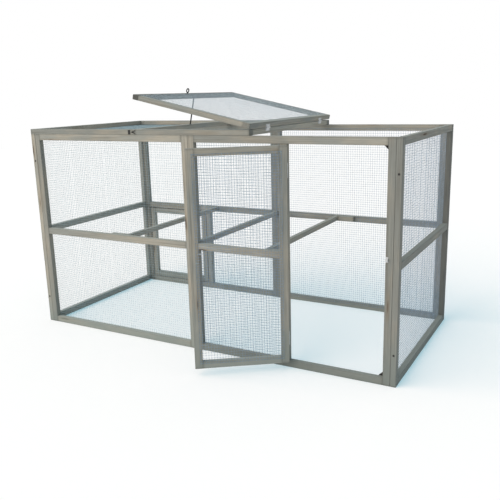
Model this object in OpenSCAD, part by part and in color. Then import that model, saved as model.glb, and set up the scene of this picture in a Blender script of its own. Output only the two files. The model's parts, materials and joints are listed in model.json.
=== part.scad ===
// Outdoor rabbit run: netted timber panels, a part roof with a hinged lid, a tall door
// at the front and a low hatch at the back. All sizes are in millimetres.
// X runs along the front from left to right, Y from front to back, and Z is up.
// The origin is on the ground under the middle of the front wall.

/* [Overall size] */
// Length over both end panels
run_length = 2025; // [1800:5:2430]
// Depth over the front and back walls
run_depth = 940; // [760:5:1150]
// Height of the wall panels
wall_height = 1060; // [880:5:1300]

/* [Wall timber] */
// Broad face of the wall and roof battens
batten_face = 33; // [30:1:42]
// Thickness of the wall battens
batten_thick = 26; // [20:1:28]
// Broad face of the front left panel's right stile
front_post_face = 37; // [33:0.5:45]
// Height of the middle rails' centre line
mid_rail_z = 531; // [420:1:640]

/* [Cross bars] */
// Centre of the left cross bar, from the left end
left_bar_x = 588; // [400:1:800]
// Centre of the right cross bar, from the left end
right_bar_x = 1402; // [1300:1:1480]
// How much the bars' centre lines lie above the middle rails'
bar_rise = 3; // [0:1:10]
// Width of the cross bars
bar_width = 24; // [20:1:45]
// Height of the cross bars
bar_height = 25; // [20:1:45]
// Length of the cleats beside the bars
cleat_length = 95; // [50:1:140]
// Depth and height of the cleats
cleat_side = 25; // [12:1:30]

/* [Roof and lid] */
// Length of the roof frame from the left end
roof_length = 1341; // [1200:1:1450]
// Height of the roof battens
roof_thick = 25; // [18:1:35]
// Length of the lid along the run
lid_length = 650; // [500:1:760]
// Height of the lid battens
lid_thick = 24; // [16:1:25]
// Angle at which the lid is propped open
lid_angle = 12.4; // [8:0.1:20]
// Gap under the closed lid
lid_gap = 3; // [0.3:0.1:4]
// Broad face of the lid battens
lid_face = 33; // [28:1:40]

/* [Door] */
// Width of the door's stiles
door_stile = 36; // [34:1:48]
// How much thinner the door and hatch battens are than the wall's
door_recess = 1; // [0.5:0.5:4]
// Gap above and below the door
door_gap = 3; // [2:0.5:5]
// Gap at each side of the door
door_side_gap = 5.5; // [2:0.5:7]
// Angle at which the door stands open
door_angle = 145; // [90:1:160]
// Size of the corner stops in the doorway
stop_leg = 25; // [10:1:26]
// Thickness of the corner stops
stop_thick = 4; // [2:0.5:6]

/* [Hatch] */
// Centre of the hatch's post, from the left end
hatch_post_x = 523; // [420:1:560]
// Width of the hatch's stiles
hatch_stile = 33; // [26:1:36]
// Gap between the hatch and its frame
hatch_gap = 5; // [2:0.5:7]

/* [Net] */
// Thickness of the welded net
net_thick = 1.5; // [1:0.1:2]
// Width of a strand of the net
net_strand = 3; // [2:0.5:6]
// Spacing of the strands that are drawn
net_pitch = 130; // [110:5:200]
// Overlap of the net on the battens
net_lap = 12; // [8:1:16]
// Clearance of a net's edge from a wall that meets it
net_clear = 1; // [0.5:0.5:2]

/* [Hinges] */
// Length of the lid hinges
lid_hinge_length = 38; // [30:1:80]
// Length of the door and hatch hinges
door_hinge_length = 65; // [40:1:90]
// Width of a hinge leaf from the pin's centre
leaf_width = 15; // [10:0.5:17]
// Thickness of a hinge leaf
leaf_thick = 1.5; // [1:0.1:1.5]
// Outer radius of a hinge knuckle
knuckle_r = 3.5; // [3.2:0.1:5]
// Radius of a hinge pin
pin_r = 2; // [1.5:0.1:2.4]
// Radial clearance round a hinge pin
pin_fit = 0.05; // [0.02:0.01:0.1]
// Gap between neighbouring knuckles
knuckle_gap = 0.5; // [0.2:0.1:1]
// Distance of the front lid hinge from the front face
lid_hinge_front = 176; // [80:1:250]
// Distance of the back lid hinge from the back face
lid_hinge_back = 143; // [80:1:250]
// Distance of the door hinges from the door's top and bottom
door_hinge_inset = 110; // [70:1:200]
// Distance of the hatch hinges from the hatch's top and bottom
hatch_hinge_inset = 80; // [60:1:140]

/* [Lid fittings] */
// Radius of the prop stay
stay_r = 3.5; // [2:0.25:3.5]
// Outer radius of the stay's eye
stay_eye_r = 5; // [4.5:0.25:6]
// Distance of the stay's pivot from the lid's left batten
stay_pivot_out = 7.5; // [7:0.5:10]
// Gap between the stay's foot and the cross rail's edge
stay_gap = 1; // [0.5:0.1:2]
// Outer radius of the pull ring
ring_r = 13; // [9:0.5:18]
// Radius of the pull ring's wire
ring_wire_r = 3; // [1.5:0.1:3]
// Distance of the pull ring from the lid's middle, towards the front
ring_forward = 22; // [0:1:60]
// Length of the catch plate
catch_plate_length = 21; // [14:0.5:23]
// Width of the catch plate
catch_plate_width = 12; // [8:0.5:16]
// Length of the catch hook's arms
catch_arm = 21; // [14:1:26]
// Radius of the catch hook's wire
catch_wire_r = 1.5; // [1:0.1:2]

/* [Bolts] */
// Height of the door bolt above the ground
door_bolt_z = 562; // [400:1:700]
// Radius of a bolt
bolt_r = 3; // [2.5:0.1:3.5]
// Travel of a bolt
bolt_travel = 18; // [14:0.5:18]
// Height of the bolt cases and keepers
keeper_height = 23; // [18:0.5:30]
// Width of the keepers
keeper_width = 11; // [8:0.5:14]

/* [Screws] */
// Radius of the screw heads
screw_head_r = 4.5; // [3:0.25:6]
// Distance of the screws from the wall's top and bottom
screw_inset = 145; // [60:1:250]

/* [Hidden] */
$fn = 24;

timber_colour = [0.56, 0.52, 0.46];
shaded_timber_colour = [0.47, 0.50, 0.48];
net_colour = [0.72, 0.75, 0.76];
zinc_colour = [0.78, 0.79, 0.80];
black_colour = [0.10, 0.10, 0.10];

// Walls. Lengths along X are counted from the left end's outer face, and along Y from
// the front wall's outer face.
middle_x = run_length / 2;
panel_length = middle_x - batten_thick;
front_post_x = middle_x - front_post_face;
bay_height = wall_height - 2 * batten_face;
rail_length = panel_length - 2 * batten_face;
mid_rail_low = mid_rail_z - batten_face / 2;
bar_z = mid_rail_z + bar_rise;
back_wall_y = run_depth - batten_thick;
end_rail_length = run_depth - 2 * batten_face;

// The door and the hatch are level with the walls' outer faces
door_thick = batten_thick - door_recess;

// Doorway, between the hinge post in the middle of the front right panel and its corner
hinge_post_x = middle_x + (panel_length - batten_face) / 2;
door_left = hinge_post_x + batten_face;
door_right = run_length - batten_thick - batten_face;
door_width = door_right - door_left - 2 * door_side_gap;
door_low = batten_face + door_gap;
door_height = bay_height - 2 * door_gap;
door_axis_x = door_left + door_side_gap / 2;
door_axis_y = -knuckle_r;

// Hatch, between the back left corner and its post
hatch_left = batten_thick + batten_face;
hatch_right = hatch_post_x - batten_face / 2;
hatch_width = hatch_right - hatch_left - 2 * hatch_gap;
hatch_low = batten_face + hatch_gap;
hatch_height = mid_rail_low - batten_face - 2 * hatch_gap;
hatch_axis_x = hatch_left + hatch_gap / 2;
hatch_axis_y = run_depth + knuckle_r;

// Roof and lid. The lid's right face is level with the roof's, and the two turn about a
// line just outside both.
roof_top = wall_height + roof_thick;
lid_low = roof_top + lid_gap;
lid_axis_x = roof_length + knuckle_r;
lid_axis_z = roof_top + lid_gap / 2;
lid_left = roof_length - lid_length;
lid_inner_left = lid_left + lid_face;

// Prop stay: square to the open lid, with its foot level with the roof's top
stay_pivot_x = lid_inner_left + stay_pivot_out;
stay_pivot_z = lid_low + lid_thick / 2;
pivot_reach = lid_axis_x - stay_pivot_x;
pivot_rise = stay_pivot_z - lid_axis_z;
pivot_open_z = lid_axis_z + pivot_reach * sin(lid_angle) + pivot_rise * cos(lid_angle);
pivot_open_x = lid_axis_x - pivot_reach * cos(lid_angle) + pivot_rise * sin(lid_angle);
stay_length = (pivot_open_z - roof_top) / cos(lid_angle);
stay_foot_x = pivot_open_x - stay_length * sin(lid_angle);
cross_rail_right = stay_foot_x - stay_r - stay_gap;
stay_play = 0.5;
stay_eye_width = 2 * stay_r;
ear_thick = 2;
bracket_base = 2;
bracket_margin = 6;
stay_pin_proud = 0.5;

// Catch on the roof's front face, at the lid's left end
catch_z = wall_height + roof_thick / 2;
catch_stud_inset = 3;
catch_stud_x = lid_left + catch_stud_inset;
catch_stud_r = 2;
catch_eye_r = 4;
catch_spread = 25;
catch_plate_offset = 27;
catch_plate_x = catch_stud_x - catch_plate_offset;
catch_plate_thick = 2.5;
catch_standoff = 2;
stud_play = 0.5;
stud_head_r = 3.5;
stud_head_height = 1.2;

// Pull ring: a collar on the batten, a neck and the ring
ring_collar_r = 4;
ring_collar_height = 1.5;
ring_neck = 5;

// Bolts: two guides on a plate, with room between them for the knob's travel
bolt_plate = 1.5;
bolt_clear = 0.5;
bolt_out = bolt_plate + bolt_clear + bolt_r;
bolt_fit = 0.08;
knob_r = 2.2;
knob_length = 11;
knob_ball_r = 3.5;
knob_play = 0.3;
guide_width = 5;
guide_wall = 1.5;
guide_side = 2 * (bolt_r + guide_wall);
case_inner = bolt_travel + 2 * knob_r + 2 * knob_play;
case_length = case_inner + 2 * guide_width;
case_edge = 1.5;
bolt_tail = 1;
bolt_length = case_length + case_edge + bolt_travel + bolt_tail;
keeper_fit = 0.4;
keeper_inset = 1;
hatch_bolt_z = hatch_low + hatch_height / 2;

// Screws in the front edges of the end panels
screw_r = 2;
screw_length = 28;
screw_head_height = 1.2;
screw_fit = 0.05;

// Clearance of a hinge leaf from the other leaf's knuckles, and how far a knuckle's arm
// runs on into its own leaf
leaf_clear = 0.5;
knuckle_clear = knuckle_r + leaf_clear;
arm_lap = 1;

// How far a cut runs past the faces it goes through
past = 1;

// Places
module placed() {
    translate([-middle_x, -batten_thick / 2, 0]) children();
}

module lid_pose() {
    translate([lid_axis_x, 0, lid_axis_z])
        rotate([0, lid_angle, 0])
            translate([-lid_axis_x, 0, -lid_axis_z])
                children();
}

module door_pose() {
    translate([door_axis_x, door_axis_y, 0])
        rotate([0, 0, -door_angle])
            translate([-door_axis_x, -door_axis_y, 0])
                children();
}

// Shapes that repeat
module batten(corner, size) {
    translate(corner) cube(size);
}

// Two stiles of a wall along X, from left to right, with its outer face at y
module wall_stiles(left, length, y) {
    for (x = [left, left + length - batten_face])
        batten([x, y, 0], [batten_face, batten_thick, wall_height]);
}

// Rails of a wall along X, at the given heights
module wall_rails(left, length, y, heights) {
    for (z = heights)
        batten([left, y, z], [length, batten_thick, batten_face]);
}

module end_stiles(x) {
    for (y = [0, run_depth - batten_face])
        batten([x, y, 0], [batten_thick, batten_face, wall_height]);
}

module end_rails(x) {
    for (z = [0, mid_rail_low, wall_height - batten_face])
        batten([x, batten_face, z], [batten_thick, end_rail_length, batten_face]);
}

// A net lying in the XY plane with its corner at the origin: a thin sheet with even,
// nearly square gaps
module net(width, height) {
    columns = max(1, round(width / net_pitch));
    rows = max(1, round(height / net_pitch));
    gap_w = (width - net_strand) / columns - net_strand;
    gap_h = (height - net_strand) / rows - net_strand;
    linear_extrude(net_thick)
        difference() {
            square([width, height]);
            for (i = [0 : columns - 1], j = [0 : rows - 1])
                translate([net_strand + i * (gap_w + net_strand),
                           net_strand + j * (gap_h + net_strand)])
                    square([gap_w, gap_h]);
        }
}

// A net standing along X from left to right, low to high, with its front face at y
module wall_net(left, right, low, high, y) {
    translate([left, y + net_thick, low])
        rotate([90, 0, 0])
            net(right - left, high - low);
}

// A net standing along Y, with its left face at x
module end_net(x) {
    front = batten_thick + net_clear;
    low = batten_face - net_lap;
    translate([x, front, low])
        rotate([90, 0, 90])
            net(run_depth - 2 * front, wall_height - 2 * low);
}

// One leaf of a butt hinge. Its pin runs along Z through the origin, the wood's face is
// at y = knuckle_r, and the leaf reaches to +X. The middle knuckle or the two outer ones
// are its own.
module hinge_leaf(length, middle) {
    third = length / 3;
    spans = middle
        ? [[-third / 2 + knuckle_gap / 2, third / 2 - knuckle_gap / 2]]
        : [[-length / 2, -third / 2 - knuckle_gap / 2], [third / 2 + knuckle_gap / 2, length / 2]];
    difference() {
        union() {
            translate([knuckle_clear, knuckle_r - leaf_thick, -length / 2])
                cube([leaf_width - knuckle_clear, leaf_thick, length]);
            for (span = spans)
                translate([0, 0, span[0]]) {
                    cylinder(r = knuckle_r, h = span[1] - span[0]);
                    translate([0, knuckle_r - leaf_thick, 0])
                        cube([knuckle_clear + arm_lap, leaf_thick, span[1] - span[0]]);
                }
        }
        cylinder(r = pin_r + pin_fit, h = length + 2 * past, center = true);
    }
}

module hinge_pin(length) {
    cylinder(r = pin_r, h = length, center = true);
}

// Places of the hinges: their pins run along Z in the children's frame, and the moving
// leaf's side is +X there
module at_lid_hinges() {
    for (y = [lid_hinge_front, run_depth - lid_hinge_back])
        translate([lid_axis_x, y, lid_axis_z])
            rotate([90, -90, 0])
                children();
}

module at_door_hinges() {
    for (z = [door_low + door_hinge_inset, door_low + door_height - door_hinge_inset])
        translate([door_axis_x, door_axis_y, z])
            children();
}

module at_hatch_hinges() {
    for (z = [hatch_low + hatch_hinge_inset, hatch_low + hatch_height - hatch_hinge_inset])
        translate([hatch_axis_x, hatch_axis_y, z])
            mirror([0, 1, 0])
                children();
}

// A bolt's case. The wood's face is the plane y = 0, the case stands out to -Y, and its
// right edge is at x = 0.
module bolt_case() {
    translate([-case_length, -bolt_plate, -keeper_height / 2])
        cube([case_length, bolt_plate, keeper_height]);
    for (x = [-case_length, -guide_width])
        difference() {
            translate([x, -bolt_out - guide_side / 2, -guide_side / 2])
                cube([guide_width, bolt_out + guide_side / 2, guide_side]);
            translate([x - past, -bolt_out, 0])
                rotate([0, 90, 0])
                    cylinder(r = bolt_r + bolt_fit, h = guide_width + 2 * past);
        }
}

// The bolt, drawn back, with its tip level with the door's edge
module bolt() {
    knob_x = -case_length + guide_width + knob_play + knob_r;
    translate([case_edge - bolt_length, -bolt_out, 0])
        rotate([0, 90, 0])
            cylinder(r = bolt_r, h = bolt_length);
    translate([knob_x, -bolt_out, 0])
        rotate([90, 0, 0])
            cylinder(r = knob_r, h = knob_length);
    translate([knob_x, -bolt_out - knob_length, 0])
        sphere(r = knob_ball_r);
}

// A bolt's keeper, with its left edge at x = 0
module keeper() {
    difference() {
        union() {
            translate([0, -bolt_plate, -keeper_height / 2])
                cube([keeper_width, bolt_plate, keeper_height]);
            translate([0, -bolt_out - guide_side / 2, -guide_side / 2])
                cube([keeper_width, bolt_out + guide_side / 2, guide_side]);
        }
        translate([-past, -bolt_out, 0])
            rotate([0, 90, 0])
                cylinder(r = bolt_r + keeper_fit, h = keeper_width + 2 * past);
    }
}

module at_door_bolt() {
    door_pose()
        translate([door_right - door_side_gap - case_edge, 0, door_bolt_z])
            children();
}

module at_hatch_bolt() {
    translate([hatch_right - hatch_gap - case_edge, run_depth, hatch_bolt_z])
        mirror([0, 1, 0])
            children();
}

// Front wall
module front_left_stiles() {
    color(timber_colour) placed() {
        batten([batten_thick, 0, 0], [batten_face, batten_thick, wall_height]);
        batten([front_post_x, 0, 0], [front_post_face, batten_thick, wall_height]);
    }
}

module front_left_rails() {
    color(timber_colour) placed()
        wall_rails(batten_thick + batten_face, front_post_x - batten_thick - batten_face, 0,
                   [0, mid_rail_low, wall_height - batten_face]);
}

module front_left_net() {
    color(net_colour) placed()
        wall_net(batten_thick + batten_face - net_lap, front_post_x + net_lap,
                 batten_face - net_lap, wall_height - batten_face + net_lap, batten_thick);
}

module front_right_stiles() {
    color(timber_colour) placed() wall_stiles(middle_x, panel_length, 0);
}

module front_right_rails() {
    color(timber_colour) placed() {
        wall_rails(middle_x + batten_face, rail_length, 0, [0, wall_height - batten_face]);
        wall_rails(middle_x + batten_face, hinge_post_x - middle_x - batten_face, 0,
                   [mid_rail_low]);
    }
}

module hinge_post() {
    color(timber_colour) placed()
        batten([hinge_post_x, 0, batten_face], [batten_face, batten_thick, bay_height]);
}

module front_right_net() {
    color(net_colour) placed()
        wall_net(middle_x + batten_face - net_lap, hinge_post_x + net_lap,
                 batten_face - net_lap, wall_height - batten_face + net_lap, batten_thick);
}

// Black plates across the doorway's right corners, behind the closed door
module corner_stops() {
    leg = stop_leg + 2 * net_lap;
    color(black_colour) placed()
        for (top = [0, 1])
            translate([door_right + net_lap, batten_thick + stop_thick, top * wall_height])
                mirror([0, 0, top])
                    translate([0, 0, batten_face - net_lap])
                        rotate([90, 0, 0])
                            linear_extrude(stop_thick)
                                polygon([[0, 0], [-leg, 0], [0, leg]]);
}

// Back wall
module back_left_stiles() {
    color(shaded_timber_colour) placed() wall_stiles(batten_thick, panel_length, back_wall_y);
}

module back_left_rails() {
    color(shaded_timber_colour) placed()
        wall_rails(batten_thick + batten_face, rail_length, back_wall_y,
                   [0, mid_rail_low, wall_height - batten_face]);
}

module hatch_post() {
    color(shaded_timber_colour) placed()
        batten([hatch_right, back_wall_y, batten_face],
               [batten_face, batten_thick, mid_rail_low - batten_face]);
}

module back_left_upper_net() {
    color(net_colour) placed()
        wall_net(batten_thick + batten_face - net_lap, middle_x - batten_face + net_lap,
                 mid_rail_z, wall_height - batten_face + net_lap, back_wall_y - net_thick);
}

module back_left_lower_net() {
    color(net_colour) placed()
        wall_net(hatch_right + batten_face - net_lap, middle_x - batten_face + net_lap,
                 batten_face - net_lap, mid_rail_z - net_clear, back_wall_y - net_thick);
}

module back_right_stiles() {
    color(shaded_timber_colour) placed() wall_stiles(middle_x, panel_length, back_wall_y);
}

module back_right_rails() {
    color(shaded_timber_colour) placed()
        wall_rails(middle_x + batten_face, rail_length, back_wall_y,
                   [0, mid_rail_low, wall_height - batten_face]);
}

module back_right_net() {
    color(net_colour) placed()
        wall_net(middle_x + batten_face - net_lap,
                 run_length - batten_thick - batten_face + net_lap,
                 batten_face - net_lap, wall_height - batten_face + net_lap,
                 back_wall_y - net_thick);
}

// End panels
module left_end_stiles() {
    color(timber_colour) placed()
        difference() {
            end_stiles(0);
            screws_at(0, screw_fit);
        }
}

module left_end_rails() {
    color(shaded_timber_colour) placed() end_rails(0);
}

module left_end_net() {
    color(net_colour) placed() end_net(batten_thick);
}

module right_end_stiles() {
    color(timber_colour) placed()
        difference() {
            end_stiles(run_length - batten_thick);
            screws_at(run_length - batten_thick, screw_fit);
        }
}

module right_end_rails() {
    color(shaded_timber_colour) placed() end_rails(run_length - batten_thick);
}

module right_end_net() {
    color(net_colour) placed() end_net(run_length - batten_thick - net_thick);
}

// Screws in an end panel's front edge, or their holes with the clearance
module screws_at(x, clear) {
    for (z = [screw_inset, wall_height - screw_inset])
        translate([x + batten_thick / 2, 0, z])
            rotate([-90, 0, 0])
                cylinder(r = screw_r + clear, h = screw_length + clear);
}

module panel_screws() {
    color(black_colour) placed()
        for (x = [0, run_length - batten_thick]) {
            screws_at(x, 0);
            for (z = [screw_inset, wall_height - screw_inset])
                translate([x + batten_thick / 2, 0, z])
                    rotate([90, 0, 0])
                        cylinder(r = screw_head_r, h = screw_head_height);
        }
}

// Cross bars and cleats, on the inner faces of the front and back walls
module cross_bar(x, seat) {
    translate([x - bar_width / 2, batten_thick + seat, bar_z - bar_height / 2])
        cube([bar_width, back_wall_y - batten_thick - 2 * seat, bar_height]);
}

module cross_bar_left() {
    color(shaded_timber_colour) placed() cross_bar(left_bar_x, net_thick);
}

module cross_bar_middle() {
    color(shaded_timber_colour) placed()
        difference() {
            cross_bar(middle_x, 0);
            // room for the two nets' edges where they lap the middle stiles
            for (y = [batten_thick, back_wall_y - net_thick], side = [-1, 1])
                translate([middle_x + side * bar_width / 2 - bar_width / 2 +
                               side * (batten_face - net_lap - net_clear),
                           y, bar_z - bar_height])
                    cube([bar_width, net_thick, 2 * bar_height]);
        }
}

module cross_bar_right() {
    color(shaded_timber_colour) placed() cross_bar(right_bar_x, net_thick);
}

module bar_cleats() {
    color(timber_colour) placed()
        for (x = [left_bar_x - bar_width / 2 - cleat_length, right_bar_x + bar_width / 2],
             y = [batten_thick + net_thick, back_wall_y - net_thick - cleat_side])
            translate([x, y, bar_z - cleat_side / 2])
                cube([cleat_length, cleat_side, cleat_side]);
}

// Roof frame
module roof_long_rails() {
    color(timber_colour) placed()
        for (y = [0, run_depth - batten_face])
            batten([0, y, wall_height], [roof_length, batten_face, roof_thick]);
}

module roof_short_rails() {
    color(timber_colour) placed()
        for (x = [0, roof_length - batten_face])
            batten([x, batten_face, wall_height], [batten_face, end_rail_length, roof_thick]);
}

module roof_cross_rail() {
    color(timber_colour) placed()
        batten([cross_rail_right - batten_face, batten_face, wall_height],
               [batten_face, end_rail_length, roof_thick]);
}

module roof_net() {
    edge = batten_thick + net_clear;
    color(net_colour) placed()
        translate([edge, edge, wall_height - net_thick])
            net(cross_rail_right - batten_face + net_lap - edge, run_depth - 2 * edge);
}

// Lid
module lid_long_rails() {
    color(timber_colour) placed() lid_pose()
        for (x = [lid_left, roof_length - lid_face])
            batten([x, 0, lid_low], [lid_face, run_depth, lid_thick]);
}

module lid_short_rails() {
    color(timber_colour) placed() lid_pose()
        for (y = [0, run_depth - lid_face])
            batten([lid_inner_left, y, lid_low],
                   [lid_length - 2 * lid_face, lid_face, lid_thick]);
}

module lid_net() {
    edge = lid_face - net_lap;
    color(net_colour) placed() lid_pose()
        translate([lid_left + edge, edge, lid_low + lid_thick])
            net(lid_length - 2 * edge, run_depth - 2 * edge);
}

module lid_pull_ring() {
    color(black_colour) placed() lid_pose()
        translate([lid_left + (lid_face - net_lap) / 2, run_depth / 2 - ring_forward,
                   lid_low + lid_thick]) {
            cylinder(r = ring_collar_r, h = ring_collar_height);
            cylinder(r = ring_wire_r, h = ring_neck);
            translate([0, 0, ring_neck + ring_r - ring_wire_r])
                rotate([0, 90, 0])
                    rotate_extrude()
                        translate([ring_r - ring_wire_r, 0])
                            circle(r = ring_wire_r);
        }
}

// Bracket on the lid's left batten, with an ear on each side of the stay's eye
module stay_bracket() {
    ear_out = stay_eye_width / 2 + stay_play;
    ear_reach = stay_pivot_x - lid_inner_left;
    color(black_colour) placed() lid_pose()
        translate([lid_inner_left, run_depth / 2, stay_pivot_z])
            difference() {
                union() {
                    translate([0, -ear_out - ear_thick - bracket_margin, -stay_eye_r])
                        cube([bracket_base, 2 * (ear_out + ear_thick + bracket_margin),
                              2 * stay_eye_r]);
                    for (y = [-ear_out - ear_thick, ear_out]) {
                        translate([0, y, -stay_eye_r])
                            cube([ear_reach, ear_thick, 2 * stay_eye_r]);
                        translate([ear_reach, y, 0])
                            rotate([-90, 0, 0])
                                cylinder(r = stay_eye_r, h = ear_thick);
                    }
                }
                translate([ear_reach, 0, 0])
                    rotate([90, 0, 0])
                        cylinder(r = pin_r + pin_fit, h = 4 * ear_out, center = true);
            }
}

module stay_pin() {
    color(zinc_colour) placed() lid_pose()
        translate([stay_pivot_x, run_depth / 2, stay_pivot_z])
            rotate([90, 0, 0])
                hinge_pin(stay_eye_width + 2 * (stay_play + ear_thick + stay_pin_proud));
}

module lid_stay() {
    color(black_colour) placed() lid_pose()
        translate([stay_pivot_x, run_depth / 2, stay_pivot_z])
            difference() {
                union() {
                    rotate([90, 0, 0])
                        cylinder(r = stay_eye_r, h = stay_eye_width, center = true);
                    translate([0, 0, -stay_length])
                        cylinder(r = stay_r, h = stay_length);
                }
                rotate([90, 0, 0])
                    cylinder(r = pin_r + pin_fit, h = 2 * stay_eye_width, center = true);
            }
}

module lid_hinge_roof_leaves() {
    color(zinc_colour) placed() at_lid_hinges()
        mirror([1, 0, 0]) hinge_leaf(lid_hinge_length, false);
}

module lid_hinge_lid_leaves() {
    color(zinc_colour) placed() lid_pose() at_lid_hinges()
        hinge_leaf(lid_hinge_length, true);
}

// Catch: a plate and a stud on the roof's front face, and a bent wire hook on the stud
module catch_plate() {
    stud_length = catch_standoff + 2 * catch_wire_r + stud_play;
    color(black_colour) placed() {
        translate([catch_plate_x, -catch_plate_thick, catch_z - catch_plate_length / 2])
            cube([catch_plate_width, catch_plate_thick, catch_plate_length]);
        translate([catch_stud_x, 0, catch_z])
            rotate([90, 0, 0]) {
                cylinder(r = catch_stud_r, h = stud_length);
                translate([0, 0, stud_length]) cylinder(r = stud_head_r, h = stud_head_height);
            }
    }
}

module catch_hook() {
    color(black_colour) placed()
        translate([catch_stud_x, -catch_standoff - catch_wire_r, catch_z])
            difference() {
                union() {
                    rotate([90, 0, 0])
                        cylinder(r = catch_eye_r, h = 2 * catch_wire_r, center = true);
                    for (side = [-1, 1])
                        rotate([0, 90 + side * catch_spread, 0])
                            cylinder(r = catch_wire_r, h = catch_arm);
                }
                rotate([90, 0, 0])
                    cylinder(r = catch_stud_r + pin_fit, h = 4 * catch_wire_r, center = true);
            }
}

// Door
module door_stiles() {
    color(timber_colour) placed() door_pose()
        for (x = [door_left + door_side_gap, door_right - door_side_gap - door_stile])
            batten([x, 0, door_low], [door_stile, door_thick, door_height]);
}

module door_rails() {
    color(timber_colour) placed() door_pose()
        for (z = [door_low, door_low + door_height - batten_face])
            batten([door_left + door_side_gap + door_stile, 0, z],
                   [door_width - 2 * door_stile, door_thick, batten_face]);
}

module door_net() {
    side = door_side_gap + door_stile - net_lap;
    color(net_colour) placed() door_pose()
        wall_net(door_left + side, door_right - side,
                 door_low + batten_face - net_lap,
                 door_low + door_height - batten_face + net_lap, door_thick);
}

module door_hinge_post_leaves() {
    color(zinc_colour) placed() at_door_hinges()
        mirror([1, 0, 0]) hinge_leaf(door_hinge_length, false);
}

module door_hinge_door_leaves() {
    color(zinc_colour) placed() door_pose() at_door_hinges()
        hinge_leaf(door_hinge_length, true);
}

module door_bolt_case() {
    color(zinc_colour) placed() at_door_bolt() bolt_case();
}

module door_bolt() {
    color(zinc_colour) placed() at_door_bolt() bolt();
}

module door_keeper() {
    color(zinc_colour) placed()
        translate([door_right + keeper_inset, 0, door_bolt_z]) keeper();
}

// Hatch
module hatch_stiles() {
    color(shaded_timber_colour) placed()
        for (x = [hatch_left + hatch_gap, hatch_right - hatch_gap - hatch_stile])
            batten([x, run_depth - door_thick, hatch_low],
                   [hatch_stile, door_thick, hatch_height]);
}

module hatch_rails() {
    color(shaded_timber_colour) placed()
        for (z = [hatch_low, hatch_low + hatch_height - batten_face])
            batten([hatch_left + hatch_gap + hatch_stile, run_depth - door_thick, z],
                   [hatch_width - 2 * hatch_stile, door_thick, batten_face]);
}

module hatch_net() {
    side = hatch_gap + hatch_stile - net_lap;
    color(net_colour) placed()
        wall_net(hatch_left + side, hatch_right - side,
                 hatch_low + batten_face - net_lap,
                 hatch_low + hatch_height - batten_face + net_lap,
                 run_depth - door_thick - net_thick);
}

module hatch_hinge_frame_leaves() {
    color(zinc_colour) placed() at_hatch_hinges()
        mirror([1, 0, 0]) hinge_leaf(door_hinge_length, false);
}

module hatch_hinge_hatch_leaves() {
    color(zinc_colour) placed() at_hatch_hinges()
        hinge_leaf(door_hinge_length, true);
}

module hatch_bolt_case() {
    color(zinc_colour) placed() at_hatch_bolt() bolt_case();
}

module hatch_bolt() {
    color(zinc_colour) placed() at_hatch_bolt() bolt();
}

module hatch_keeper() {
    color(zinc_colour) placed()
        translate([hatch_right + keeper_inset, run_depth, hatch_bolt_z])
            mirror([0, 1, 0])
                keeper();
}

module hinge_pins() {
    color(zinc_colour) placed() {
        at_lid_hinges() hinge_pin(lid_hinge_length);
        at_door_hinges() hinge_pin(door_hinge_length);
        at_hatch_hinges() hinge_pin(door_hinge_length);
    }
}

front_left_stiles();
front_left_rails();
front_left_net();
front_right_stiles();
front_right_rails();
hinge_post();
front_right_net();
back_left_stiles();
back_left_rails();
hatch_post();
back_left_upper_net();
back_left_lower_net();
back_right_stiles();
back_right_rails();
back_right_net();
left_end_stiles();
left_end_rails();
left_end_net();
right_end_stiles();
right_end_rails();
right_end_net();
cross_bar_left();
cross_bar_middle();
cross_bar_right();
bar_cleats();
roof_long_rails();
roof_short_rails();
roof_cross_rail();
roof_net();
lid_long_rails();
lid_short_rails();
lid_net();
lid_pull_ring();
stay_bracket();
stay_pin();
lid_stay();
lid_hinge_roof_leaves();
lid_hinge_lid_leaves();
catch_plate();
catch_hook();
door_stiles();
door_rails();
door_net();
door_hinge_post_leaves();
door_hinge_door_leaves();
door_bolt_case();
door_bolt();
door_keeper();
hatch_stiles();
hatch_rails();
hatch_net();
hatch_hinge_frame_leaves();
hatch_hinge_hatch_leaves();
hatch_bolt_case();
hatch_bolt();
hatch_keeper();
hinge_pins();
corner_stops();
panel_screws();
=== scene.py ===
# %% [markdown]
# # Outdoor rabbit run
#
# A tall run of weathered timber panels with welded mesh, a part roof with a lid propped
# open on a thin stay, a door standing open at the front and a low hatch at the back. The
# measured model is loaded first, and every board, net and screw here takes its size and
# place from it.

# %% Load the measured model
import json
import math
import random

import bmesh
import bpy
from mathutils import Matrix, Vector

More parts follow.
